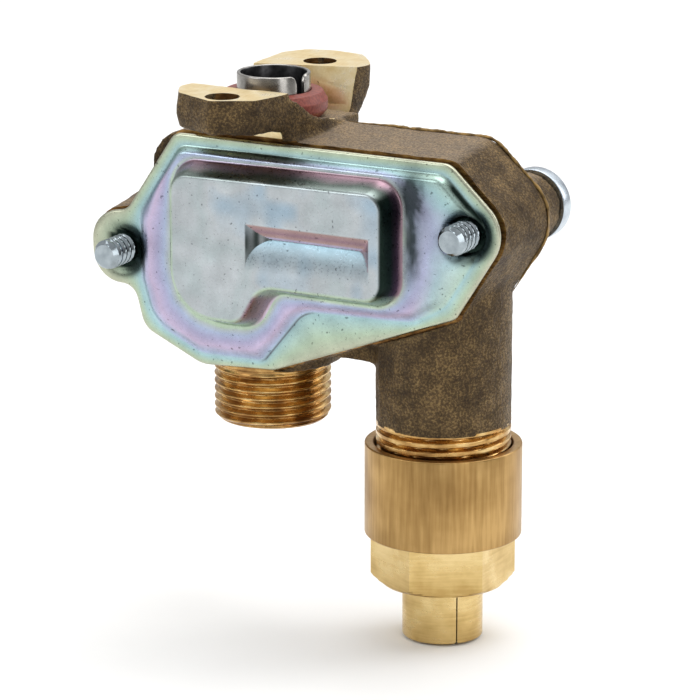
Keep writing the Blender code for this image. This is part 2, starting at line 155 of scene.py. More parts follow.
def rounded(outline, steps=10):
    """The outline's points as an array, each corner rounded by its own radius."""
    count = len(outline)
    return np.concatenate([arc_corner(outline[i - 1], outline[i], outline[(i + 1) % count], steps)
                           for i in range(count)])


def resample(points, count):
    """The same closed outline with points at equal distances along it."""
    loop = np.vstack([points, points[:1]])
    run = np.concatenate([[0], np.cumsum(np.linalg.norm(np.diff(loop, axis=0), axis=1))])
    wanted = np.linspace(0, run[-1], count, endpoint=False)
    return np.stack([np.interp(wanted, run, loop[:, k]) for k in (0, 1)], 1)


def offset(points, distance):
    """A clockwise outline moved outwards by a distance along its own normals."""
    along = np.roll(points, -1, 0) - np.roll(points, 1, 0)
    along /= np.linalg.norm(along, axis=1, keepdims=True)
    return points + np.stack([-along[:, 1], along[:, 0]], 1) * distance


def inside_distance(points, outline):
    """Distance from each point to an outline: positive inside, negative outside."""
    near = np.full(len(points), 1e9)
    crossings = np.zeros(len(points), int)
    for start, end in zip(outline, np.roll(outline, -1, 0)):
        side = end - start
        part = np.clip(((points - start) @ side) / max(side @ side, 1e-12), 0, 1)
        near = np.minimum(near, np.linalg.norm(points - start - part[:, None] * side, axis=1))
        spans = (start[1] > points[:, 1]) != (end[1] > points[:, 1])
        rise = end[1] - start[1] if abs(end[1] - start[1]) > 1e-12 else 1e-12
        crossings += spans & (points[:, 0] < start[0] + (points[:, 1] - start[1]) * side[0] / rise)
    return np.where(crossings % 2 == 1, near, -near)


def smooth(value):
    """Ease from 0 to 1 with flat ends: 6t^5 - 15t^4 + 10t^3."""
    t = np.clip(value, 0, 1)
    return t * t * t * (t * (6 * t - 15) + 10)


def lattice_noise(points, size, seed):
    """Smooth random values from -1 to 1: random numbers on a lattice of a given size, blended."""
    table = np.random.default_rng(seed).uniform(-1, 1, (32, 32, 32))
    place = points / size
    cell = np.floor(place).astype(int)
    part = smooth(place - cell)
    total = np.zeros(len(points))
    for corner in np.ndindex(2, 2, 2):
        step = np.array(corner)
        weight = np.prod(np.where(step == 1, part, 1 - part), axis=1)
        index = (cell + step) % 32
        total += weight * table[index[:, 0], index[:, 1], index[:, 2]]
    return total


def grid_faces(rows, columns, close_rows=True):
    """Corner numbers of the quads of a grid whose columns, and rows if asked, join end to end."""
    row = np.arange(rows if close_rows else rows - 1)[:, None]
    column = np.arange(columns)[None, :]
    next_row = (row + 1) % rows
    next_column = (column + 1) % columns
    corners = [row * columns + column, next_row * columns + column,
               next_row * columns + next_column, row * columns + next_column]
    return np.stack([c.ravel() for c in corners], 1)


def capped_faces(rows, columns):
    """Faces of a tube whose rings are the rows of a grid, with a flat face over each end."""
    first = list(range(columns))
    last = list(range((rows - 1) * columns, rows * columns))[::-1]
    return grid_faces(rows, columns, close_rows=False).tolist() + [first, last]


def read(parts, name):
    """A vector that each point or face of a mesh holds, as an array of rows."""
    values = np.empty(len(parts) * 3)
    parts.foreach_get(name, values)
    return values.reshape(-1, 3)


def piece(name, points, faces, material, sharp=40.0):
    """A mesh object from points in millimetres, its doubles merged and its faces turned outwards."""
    mesh = bpy.data.meshes.new(name)
    faces = faces.tolist() if isinstance(faces, np.ndarray) else faces
    mesh.from_pydata((np.asarray(points) * MM).tolist(), [], faces)
    tool = bmesh.new()
    tool.from_mesh(mesh)
    bmesh.ops.remove_doubles(tool, verts=tool.verts, dist=1e-6)
    bmesh.ops.dissolve_degenerate(tool, edges=tool.edges, dist=1e-7)
    bmesh.ops.recalc_face_normals(tool, faces=tool.faces)
    tool.to_mesh(mesh)
    tool.free()
    mesh.materials.append(material)
    mesh.shade_smooth()
    mesh.set_sharp_from_angle(angle=math.radians(sharp))
    made = bpy.data.objects.new(name, mesh)
    bpy.context.scene.collection.objects.link(made)
    return made


def place_round(radius, turn, height, centre, along_y=False):
    """Points from a radius, an angle and a height about a vertical axis, or one along Y."""
    across = centre[0] + radius * np.cos(turn)
    other = centre[1] + radius * np.sin(turn)
    parts = [across, height, other] if along_y else [across, other, height]
    return np.stack(np.broadcast_arrays(*parts), -1).reshape(-1, 3)


def soft_profile(corners, radius):
    """A closed (radius, height) profile whose corners are rounded by the same small fillet."""
    return rounded([(r, h, radius) for r, h in corners], 4)


def turned(name, profile, centre, material, facets=128, along_y=False, sharp=40.0):
    """A solid of revolution: the closed profile of (radius, height) swept round its axis."""
    profile = np.asarray(profile, float)
    turn = np.linspace(0, math.tau, facets, endpoint=False)[:, None]
    points = place_round(profile[None, :, 0], turn, profile[None, :, 1], centre, along_y)
    return piece(name, points, grid_faces(facets, len(profile)), material, sharp)


def thread_radius(turn, height, crest, depth, pitch, flat):
    """Thread form: flat crests over a share of the pitch, and between them a V whose phase
    follows the turn."""
    phase = (height / pitch + turn / math.tau) % 1.0
    valley = np.clip((1 - np.abs(2 * phase - 1) - flat) / (1 - flat) * 1.12, 0, 1)
    return crest - depth * valley


def threaded(name, crest, bore, ends, pitch, depth, centre, material, along_y=False, chamfer=1.2, run_in=1.5,
             plain=0.0, flat=0.15):
    """A threaded cylinder: its outer radius is the thread form, faded in at the first end and
    limited by a cone at the last end; the bore closes it, or the axis where the bore is 0. The
    thread starts after a plain length."""
    first, last = ends
    direction = 1.0 if last > first else -1.0
    span = abs(last - first)
    count = int(span / pitch * 16)
    run = np.linspace(0, span, count)[None, :]
    turn = np.linspace(0, math.tau, 120, endpoint=False)[:, None]
    fade = np.clip((run - plain) / run_in, 0, 1)
    radius = crest - (crest - thread_radius(turn, run, crest, depth, pitch, flat)) * fade
    radius = np.minimum(radius, crest - chamfer + (span - run))
    height = np.broadcast_to(first + direction * run, radius.shape)
    inner = np.full((len(turn), 1), max(bore, 0.0))
    radius = np.hstack([inner, radius, inner])
    height = np.hstack([height[:, :1], height, height[:, -1:]])
    points = place_round(radius, turn, height, centre, along_y)
    return piece(name, points, grid_faces(*radius.shape), material, 30.0)


def house(made, slot, *nodes, body="housing"):
    """Rides a piece on its body and hides the CAD nodes that it stands for; the slot argument, the finish's
    name, is not used.
    """
    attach(made, body)
    if nodes:
        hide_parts(*nodes)


# ---------------------------------------------------------------- material helpers
def linear(code):
    """An sRGB hex value turned to the linear colour that shaders take."""
    parts = np.array([int(code[i:i + 2], 16) for i in (0, 2, 4)]) / 255.0
    parts = np.where(parts <= 0.04045, parts / 12.92, ((parts + 0.055) / 1.055) ** 2.4)
    return (*parts.tolist(), 1.0)


def feed(tree, node, feeds):
    """Sets a node's inputs: links a socket, or another node's first output, and writes a value."""
    for socket, value in feeds.items():
        if isinstance(value, bpy.types.Node):
            value = value.outputs[0]
        if isinstance(value, bpy.types.NodeSocket):
            tree.links.new(value, node.inputs[socket])
        else:
            node.inputs[socket].default_value = value


def add_node(tree, kind, settings=None, feeds=None, stops=None):
    """Adds one node, with its settings, its inputs as values or links, and its ramp's colours."""
    made = tree.nodes.new("ShaderNode" + kind)
    for key, value in (settings or {}).items():
        setattr(made, key, value)
    feed(tree, made, feeds or {})
    for i, (position, code) in enumerate(stops or []):
        element = made.color_ramp.elements[i] if i < 2 else made.color_ramp.elements.new(position)
        element.position = position
        element.color = linear(code)
    return made


def new_finish(name, metallic, roughness):
    """A material with its shader and its object coordinates ready to use."""
    material = bpy.data.materials.new(name)
    material.use_nodes = True
    tree = material.node_tree
    shader = tree.nodes["Principled BSDF"]
    feed(tree, shader, {"Metallic": metallic, "Roughness": roughness})
    place = add_node(tree, "TexCoord").outputs["Object"]
    return material, tree, shader, place


def per_mm(size):
    """Texture scale that gives features of a size in millimetres."""
    return 1.0 / (size * MM)


def sand_cast_brass(settings):
    """Sand-cast brass left as cast: dull brown skin, sand grain, gold where the skin is rubbed, and a painted
    sheen that lightens faces pointing up.
    """
    material, tree, shader, place = new_finish("sand_cast_brass", 0.7, 0.5)
    stain = add_node(tree, "TexNoise", feeds={"Vector": place, "Scale": per_mm(5), "Detail": 8.0})
    grain = add_node(tree, "TexNoise", feeds={
        "Vector": place, "Scale": per_mm(0.5), "Detail": 4.0, "Roughness": 0.75})
    pits = add_node(tree, "TexVoronoi", feeds={"Vector": place, "Scale": per_mm(0.9)})
    skin = add_node(tree, "ValToRGB", feeds={"Fac": stain}, stops=[
        (0.32, settings.cast_dark), (0.7, settings.cast_light), (0.5, settings.cast_middle)])
    rubbed = add_node(tree, "MapRange", feeds={
        "Value": grain, "From Min": 0.46, "From Max": 0.68})
    patch = add_node(tree, "MapRange", feeds={
        "Value": stain, "From Min": 0.35, "From Max": 0.65, "To Min": 0.25, "To Max": 0.85})
    amount = add_node(tree, "Math", {"operation": "MULTIPLY"}, {
        0: rubbed, 1: patch})
    # Painted sheen: faces that point up are mixed towards a pale grey tone in a grain, standing in for the
    # light from above.
    normal = add_node(tree, "NewGeometry").outputs["Normal"]
    upward = add_node(tree, "MapRange", feeds={
        "Value": add_node(tree, "SeparateXYZ", feeds={"Vector": normal}).outputs["Z"],
        "From Min": 0.82, "From Max": 1.0, "To Min": 0.0, "To Max": 0.8})
    sheen_grain = add_node(tree, "MapRange", feeds={
        "Value": grain, "From Min": 0.38, "From Max": 0.6, "To Min": 0.35, "To Max": 1.0})
    dust = add_node(tree, "Math", {"operation": "MULTIPLY"}, {
        0: upward, 1: sheen_grain})
    with_top_sheen = add_node(tree, "Mix", {"data_type": "RGBA"}, {
        "Factor": dust, 6: skin, 7: linear(settings.cast_dust)})
    gold = add_node(tree, "Mix", {"data_type": "RGBA"}, {
        "Factor": amount, 6: with_top_sheen.outputs[2], 7: linear(settings.cast_speck)})
    height = add_node(tree, "Math", {"operation": "MULTIPLY_ADD"}, {
        0: pits, 1: 0.5, 2: grain})
    bump = add_node(tree, "Bump", feeds={
        "Height": height, "Strength": 0.9, "Distance": 0.0004})
    rough = add_node(tree, "MapRange", feeds={
        "Value": amount, "To Min": 0.58, "To Max": 0.34})
    feed(tree, shader, {"Base Color": gold.outputs[2], "Roughness": rough, "Normal": bump})
    return material


def lined_brass(name, colours, lines, tarnish, roughness, depth=0.00003, contrast=0.45, metallic=1.0):
    """Machined brass: fine tool lines whose spacing along X, Y and Z is given in millimetres, and
    a slow change between clean and tarnished gold."""
    material, tree, shader, place = new_finish(name, metallic, roughness)
    mapping = add_node(tree, "Mapping", feeds={
        "Vector": place, "Scale": tuple(per_mm(size) for size in lines)})
    fine = add_node(tree, "TexNoise", feeds={
        "Vector": mapping, "Scale": 1.0, "Detail": 2.0})
    slow = add_node(tree, "TexNoise", feeds={
        "Vector": place, "Scale": per_mm(tarnish), "Detail": 4.0})
    blend = add_node(tree, "Mix", {"data_type": "FLOAT"}, {
        0: contrast, 2: slow, 3: fine})
    colour = add_node(tree, "ValToRGB", feeds={"Fac": blend.outputs[0]}, stops=[
        (0.34, colours[0]), (0.64, colours[2]), (0.5, colours[1])])
    bump = add_node(tree, "Bump", feeds={
        "Height": fine, "Strength": 0.5, "Distance": depth})
    rough = add_node(tree, "MapRange", feeds={
        "Value": blend.outputs[0], "From Min": 0.3, "From Max": 0.7,
        "To Min": roughness + 0.1, "To Max": roughness - 0.06})
    feed(tree, shader, {"Base Color": colour, "Roughness": rough, "Normal": bump})
    return material


def passivated_zinc():
    """Zinc plate with a chromate film on pressed steel: pale, in drifts of green, blue and pink, with painted
    reflections and shade on its walls, round its screws and in its trough, all held by the mesh's film
    attribute, under a fine orange-peel grain with a few dark flecks."""
    material, tree, shader, place = new_finish("passivated_zinc_sheet", 1.0, 0.3)
    film = add_node(tree, "Attribute", {"attribute_name": "film"})
    grain = add_node(tree, "TexNoise", feeds={
        "Vector": place, "Scale": per_mm(0.5), "Detail": 3.0})
    drift = add_node(tree, "TexNoise", feeds={
        "Vector": place, "Scale": per_mm(5), "Detail": 3.0})
    fleck = add_node(tree, "TexNoise", feeds={
        "Vector": place, "Scale": per_mm(0.9), "Detail": 1.0})
    cloud = add_node(tree, "MapRange", feeds={
        "Value": drift, "From Min": 0.3, "From Max": 0.7, "To Min": 0.86, "To Max": 1.1})
    fine = add_node(tree, "MapRange", feeds={
        "Value": grain, "From Min": 0.3, "From Max": 0.7, "To Min": 0.92, "To Max": 1.05})
    spots = add_node(tree, "MapRange", feeds={
        "Value": fleck, "From Min": 0.7, "From Max": 0.76, "To Min": 1.0, "To Max": 0.45})
    tone = add_node(tree, "Math", {"operation": "MULTIPLY"}, {
        0: cloud, 1: fine})
    tone = add_node(tree, "Math", {"operation": "MULTIPLY"}, {
        0: tone, 1: spots})
    colour = add_node(tree, "VectorMath", {"operation": "SCALE"}, {
        0: film, "Scale": tone})
    rough = add_node(tree, "MapRange", feeds={
        "Value": grain, "From Min": 0.3, "From Max": 0.7, "To Min": 0.25, "To Max": 0.38})
    bump = add_node(tree, "Bump", feeds={
        "Height": grain, "Strength": 0.2, "Distance": 0.00006})
    feed(tree, shader, {"Base Color": colour, "Roughness": rough, "Normal": bump})
    return material


def speckled(name, dark, light, size, metallic, roughness, depth):
    """A plain finish with a fine grain of a given size in millimetres, in colour and in relief."""
    material, tree, shader, place = new_finish(name, metallic, roughness)
    grain = add_node(tree, "TexNoise", feeds={
        "Vector": place, "Scale": per_mm(size), "Detail": 4.0})
    colour = add_node(tree, "ValToRGB", feeds={"Fac": grain}, stops=[
        (0.35, dark), (0.65, light)])
    bump = add_node(tree, "Bump", feeds={
        "Height": grain, "Strength": 0.4, "Distance": depth})
    feed(tree, shader, {"Base Color": colour, "Normal": bump})
    return material


FINISHES = {}


# Finishes with a fine grain: name, dark, light, grain in mm, metallic, roughness, relief in metres.
GRAINED = {
    "flash": ("rubbed_casting_flash", "5A482E", "94784A", 1.6, 0.9, 0.45, 0.0002),
    "zinc": ("blue_zinc_plate", "AEB7C1", "C0C9D1", 1.8, 1.0, 0.27, 0.00004),
    "screw": ("bright_zinc_screw", "8F999F", "A6B0B6", 2.2, 1.0, 0.14, 0.00001),
    # The sleeve's inside is a darker copy of its steel: painted shade inside the bore.
    "shaded_steel_inside": ("shaded_stainless_inside", "3A3A3C", "5A5A5C", 1.5, 1.0, 0.35, 0.00002),
    "steel": ("rolled_stainless_strip", "8E8B87", "A8A5A0", 2.0, 1.0, 0.24, 0.00002),
    "wire": ("drawn_spring_wire", "6F7276", "8E9195", 0.8, 1.0, 0.35, 0.00003),
    "seal": ("red_nitrile_rubber", "6A2A22", "8A4032", 0.6, 0.0, 0.5, 0.00008),
    "black": ("black_nitrile_rubber", "1B1C1E", "2A2C2F", 0.5, 0.0, 0.55, 0.00006),
    "fibre": ("pressed_fibre_gasket", "3C4A45", "55665F", 0.4, 0.0, 0.8, 0.00008),
}
# Machined brass: name, shades, line spacing along X, Y and Z in mm, tarnish in mm, roughness,
# relief in metres, share of the lines, metallic.
LINED = {
    "milled": ("milled_brass", "milled", (0.5, 3.0, 0.5), 6.0, 0.3, 0.00002, 0.25, 0.8),
    "thread": ("cut_thread_brass", "thread", (4.0, 4.0, 0.3), 5.0, 0.24, 0.00002, 0.3),
    "skirt": ("brushed_skirt_brass", "skirt", (0.9, 0.9, 14.0), 13.0, 0.36, 0.00001, 0.42),
    "hexagon": ("drawn_hexagon_brass", "brass", (9.0, 9.0, 0.5), 8.0, 0.27, 0.00001, 0.22),
}


def make_finishes(settings):
    """All the finishes of the valve, kept by name."""
    FINISHES["cast"] = sand_cast_brass(settings)
    FINISHES["sheet"] = passivated_zinc()
    bore = (settings.cast_dark, settings.thread_dark, settings.thread_middle)
    FINISHES["bore"] = lined_brass("drilled_brass", bore, (2.0, 2.0, 0.4), 5.0, 0.4)
    for key, (name, shades, *rest) in LINED.items():
        colours = [getattr(settings, shades + tone) for tone in ("_dark", "_middle", "_light")]
        FINISHES[key] = lined_brass(name, colours, *rest)
    for key, values in GRAINED.items():
        FINISHES[key] = speckled(*values)


# ---------------------------------------------------------------- the casting
def extruded(outline, start, end):
    """Points and faces of a plate: an outline in XZ carried from one Y to another."""
    count = len(outline)
    near = np.insert(outline, 1, start, axis=1)
    far = np.insert(outline, 1, end, axis=1)
    ring = np.arange(count)
    sides = np.stack([ring, (ring + 1) % count, (ring + 1) % count + count, ring + count], 1)
    return np.vstack([near, far]), sides.tolist() + [ring.tolist(), (ring + count)[::-1].tolist()]


def standing(outline, start, end):
    """Points and faces of a plate: an outline in XY carried from one Z to another."""
    points, faces = extruded(outline, start, end)
    return points[:, [0, 2, 1]], faces


def circle(radius, centre, facets=72):
    """Points round a circle, anticlockwise."""
    turn = np.linspace(0, math.tau, facets, endpoint=False)
    return np.stack([centre[0] + radius * np.cos(turn), centre[1] + radius * np.sin(turn)], 1)


def arc(radius, first, last, count=24):
    """Points along an arc about the origin, between two angles in degrees."""
    turn = np.radians(np.linspace(first, last, count))
    return np.stack([radius * np.cos(turn), radius * np.sin(turn)], 1)


def machining(material):
    """Every cut that a mill, a drill or a lathe makes in the casting."""
    room = offset(resample(rounded(COVER_OUTLINE), 200), COVER_ROOM)
    pocket = np.vstack([arc(12.75, 200, 340), arc(17.35, 25, 155)])
    step = np.array([(-12.6, -20.0), (9.6, -20.0), (9.6, FACE_Y), (-12.6, FACE_Y)])
    tops = np.array([(-30.0, -40.0), (30.0, -40.0), (30.0, 50.0), (-30.0, 50.0)])
    box_faces = [(0, 1, 3, 2), (4, 6, 7, 5), (0, 4, 5, 1), (2, 3, 7, 6), (0, 2, 6, 4), (1, 5, 7, 3)]
    slopes = [np.array([
        (-16.0, 14.3, 3.0), (12.0, 22.6, 3.0), (-16.0, 10.45 + low, floor), (12.0, 18.7 + low, floor),
        (-16.0, front, 3.0), (12.0, front, 3.0), (-16.0, front, floor), (12.0, front, floor)])
        for front, floor, low in ((3.0, SADDLE_Z - 0.02, 0.0), (13.2, -10.4, -0.85))]
    bore = FINISHES["bore"]
    cuts = [
        ("tops", standing(tops, 0.0, 6.0), material),
        ("face", extruded(room, FACE_Y - 8, FACE_Y), bore),
        ("step", standing(step, -14.0, -8.4), material),
        ("pocket", standing(pocket, SADDLE_Z, 5.0), material),
        ("slope", (slopes[0], box_faces), material),
        ("slope_foot", (slopes[1], box_faces), material),
        ("spout", standing(circle(LATHE_R, INLET), INLET_END_Z - 2, COLLAR_END_Z), material),
        ("stub", standing(circle(LATHE_R, (STUB_X, 0.0)), STUB_END_Z - 2, STUB_THREAD_Z), material),
        ("inlet", standing(circle(INLET_BORE_R + 0.1, INLET), -80.0, -53.0), material),
        ("front_hole", standing(circle(HOLE_R, FRONT_HOLE), -30.0, 5.0), bore),
        ("rear_hole", standing(circle(HOLE_R, REAR_HOLE), -30.0, 5.0), bore),
    ]
    return [piece("cut_" + name, *shape, finish) for name, shape, finish in cuts]


def cast_skin(settings):
    """The body as it leaves the sand: the CAD shape, with stock left on its machined planes, is
    remeshed in cubes, its edges are relaxed, and its skin is moved by four sizes of noise."""
    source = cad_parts["valve_body"]
    tool = bmesh.new()
    tool.from_mesh(source.data)
    bmesh.ops.remove_doubles(tool, verts=tool.verts, dist=1e-6)
    mesh = bpy.data.meshes.new("casting")
    tool.to_mesh(mesh)
    tool.free()
    points = read(mesh.vertices, "co")
    points[np.abs(points[:, 2]) < 2e-5, 2] += settings.stock * MM
    points[np.abs(points[:, 1] - FACE_Y * MM) < 2e-5, 1] -= settings.stock * MM
    mesh.vertices.foreach_set("co", points.ravel())
    made = bpy.data.objects.new("casting", mesh)
    bpy.context.scene.collection.objects.link(made)
    remesh = made.modifiers.new("cubes", "REMESH")
    remesh.mode = "VOXEL"
    remesh.voxel_size = settings.voxel * MM
    relax = made.modifiers.new("relax", "SMOOTH")
    relax.factor = 0.5
    relax.iterations = settings.relax_passes
    bake(made)
    add_grain(made.data, settings)
    return made


def bake(made):
    """Replaces an object's mesh by what its modifiers make of it."""
    view = bpy.context.evaluated_depsgraph_get()
    fresh = bpy.data.meshes.new_from_object(made.evaluated_get(view))
    old = made.data
    made.modifiers.clear()
    made.data = fresh
    bpy.data.meshes.remove(old)


def add_grain(mesh, settings):
    """Moves each point along its normal by noise at 6, 3, 1.7 and 0.9 mm."""
    points = read(mesh.vertices, "co") / MM
    normals = read(mesh.vertices, "normal")
    height = sum(part * lattice_noise(points, size, seed)
                 for part, size, seed in ((0.5, 6.0, 1), (0.6, 3.0, 4), (0.4, 1.7, 2), (0.35, 0.9, 3)))
    points += normals * (height * settings.grain)[:, None]
    low = BODY_LOW + 0.05
    high = BODY_HIGH - 0.05
    high[2] += 2 * settings.stock
    points = np.clip(points, low, high)
    mesh.vertices.foreach_set("co", (points * MM).ravel())
    mesh.update()


class VALVE_OT_casting(bpy.types.Operator):
    """Build the sand-cast body and machine its faces, pocket, bores and holes"""
    bl_idname = "valve.casting"
    bl_label = "Casting"

    def execute(self, context):
        settings = context.scene.valve_casting
        made = cast_skin(settings)
        made.data.materials.clear()
        made.data.materials.append(FINISHES["cast"])
        cuts = machining(FINISHES["milled"])
        group = bpy.data.collections.new("machining")
        for item in cuts:
            group.objects.link(item)
        step = made.modifiers.new("machining", "BOOLEAN")
        step.operation = "DIFFERENCE"
        step.solver = "EXACT"
        step.operand_type = "COLLECTION"
        step.collection = group
        step.material_mode = "TRANSFER"
        bake(made)
        for item in cuts:
            bpy.data.objects.remove(item, do_unlink=True)
        bpy.data.collections.remove(group)
        made.data.validate()
        made.data.shade_smooth()
        made.data.set_sharp_from_angle(angle=math.radians(38))
        house(made, "cast_brass", "valve_body")
        return {"FINISHED"}


class VALVE_OT_parting_flash(bpy.types.Operator):
    """Lay the ragged bead that the mould's parting line leaves round the lobe of the casting"""
    bl_idname = "valve.parting_flash"
    bl_label = "Parting Flash"

    def execute(self, context):
        settings = context.scene.valve_casting
        sides = 12
        path = offset(resample(rounded(COVER_OUTLINE), 900), 2.25)
        start = np.argmin(np.hypot(path[:, 0] - 16.0, path[:, 1] + 9.0))
        end = np.argmin(np.hypot(path[:, 0] - 55.0, path[:, 1] + 43.0))
        path = path[start:end] if end > start else np.vstack([path[start:], path[:end]])
        along = np.gradient(path, axis=0)
        along /= np.linalg.norm(along, axis=1, keepdims=True)
        outward = np.stack([-along[:, 1], along[:, 0]], 1)
        where = np.insert(path, 1, PARTING_Y, axis=1)
        ragged = lattice_noise(where, 1.3, 11) + 0.6 * lattice_noise(where, 0.6, 12)
        taper = np.clip(np.minimum(np.arange(len(path)), np.arange(len(path))[::-1]) / 40, 0, 1)
        size = settings.flash * taper * (1 + 0.35 * ragged) + 0.05
        sway = 0.25 * lattice_noise(where, 4.0, 13)
        turn = np.linspace(0, math.tau, sides, endpoint=False)[None, :]
        out = (0.75 * size[:, None]) * np.cos(turn)
        across = where[:, None, 1] + sway[:, None] + 0.8 * size[:, None] * np.sin(turn)
        points = np.stack([path[:, None, 0] + outward[:, None, 0] * out, across,
                           path[:, None, 1] + outward[:, None, 1] * out], -1).reshape(-1, 3)
        points = np.clip(points, BODY_LOW + 0.02, BODY_HIGH - 0.02)
        made = piece("parting_flash", points, capped_faces(len(path), sides), FINISHES["flash"], 60.0)
        house(made, "cast_brass")
        return {"FINISHED"}


class VALVE_OT_threads(bpy.types.Operator):
    """Build the inlet spout and the relief stub with their helical threads"""
    bl_idname = "valve.threads"
    bl_label = "Threads"

    def execute(self, context):
        settings = context.scene.valve_threads
        inlet = threaded("inlet_thread", INLET_R, INLET_BORE_R, (COLLAR_END_Z + 0.6, INLET_END_Z),
                         settings.inlet_pitch, settings.inlet_depth, INLET, FINISHES["thread"], plain=1.0)
        stub = threaded("stub_thread", STUB_R, STUB_BORE_R, (STUB_THREAD_Z + 0.5, STUB_END_Z),
                        settings.stub_pitch, settings.stub_depth, (STUB_X, 0.0), FINISHES["thread"],
                        flat=0.45)
        for made in (inlet, stub):
            house(made, "turned_brass")
        return {"FINISHED"}


# ---------------------------------------------------------------- the cover
def trough(place):
    """Share of the trough's depth: a steep straight side above its line, a square-law slope that
    eases out below it, and at each end a fan, 1 - (1 - t)^1.8, whose edges curve in to a point.
    Also says which points lie on the upper side and on each fan."""
    x, z = place[:, 0], place[:, 1]
    over = z > TROUGH_Z
    side = np.where(over, 1 - (z - TROUGH_Z) / 3.3, (1 - np.clip((TROUGH_Z - z) / 7.5, 0, 1)) ** 2)
    side = np.clip(side, 0, 1)
    left = 1 - (1 - np.clip((x - FAN_START) / 7.0, 0, 1)) ** 1.8
    right = 1 - (1 - np.clip((FAN_END - x) / 3.2, 0, 1)) ** 1.8
    share = np.minimum(side, np.minimum(left, right))
    return share, over, (left < side) & (left < 1), (right < side) & (right < 1)


def cover_front(place, settings):
    """How far the cover's front stands out of its lip: two pressed steps with rounded shoulders,
    less the trough and a shallow dimple around each screw."""
    plateau = inside_distance(place, rounded(PLATEAU_OUTLINE))
    raised = inside_distance(place, rounded(RAISED_OUTLINE))
    width = settings.step_width * (1 + 0.9 * smooth((-22.0 - place[:, 1]) / 12))
    height = STEP_ONE * smooth(plateau / width)
    height = height + STEP_TWO * smooth(raised / settings.wall_width)
    height = height - settings.dent * trough(place)[0]
    for axis in SCREW_AXES.values():
        away = np.linalg.norm(place - np.array(axis), axis=1) - SCREW_R
        sunk = settings.dimple * (1 - smooth(away / 3.6)) + 1.6 * (1 - smooth((away - 0.7) / 0.9))
        height = height - np.minimum(sunk, height + 0.8)
    return height


def mix(first, second, amount):
    """Goes from one set of colours to another by an amount from 0 to 1 at each point."""
    return first + (second - first) * np.clip(amount, 0, 1)[:, None]


def ramp(value, start, length):
    """Straight ramp from 0 at a place to 1 a length further on; a negative length runs back."""
    return np.clip((value - start) / length, 0, 1)


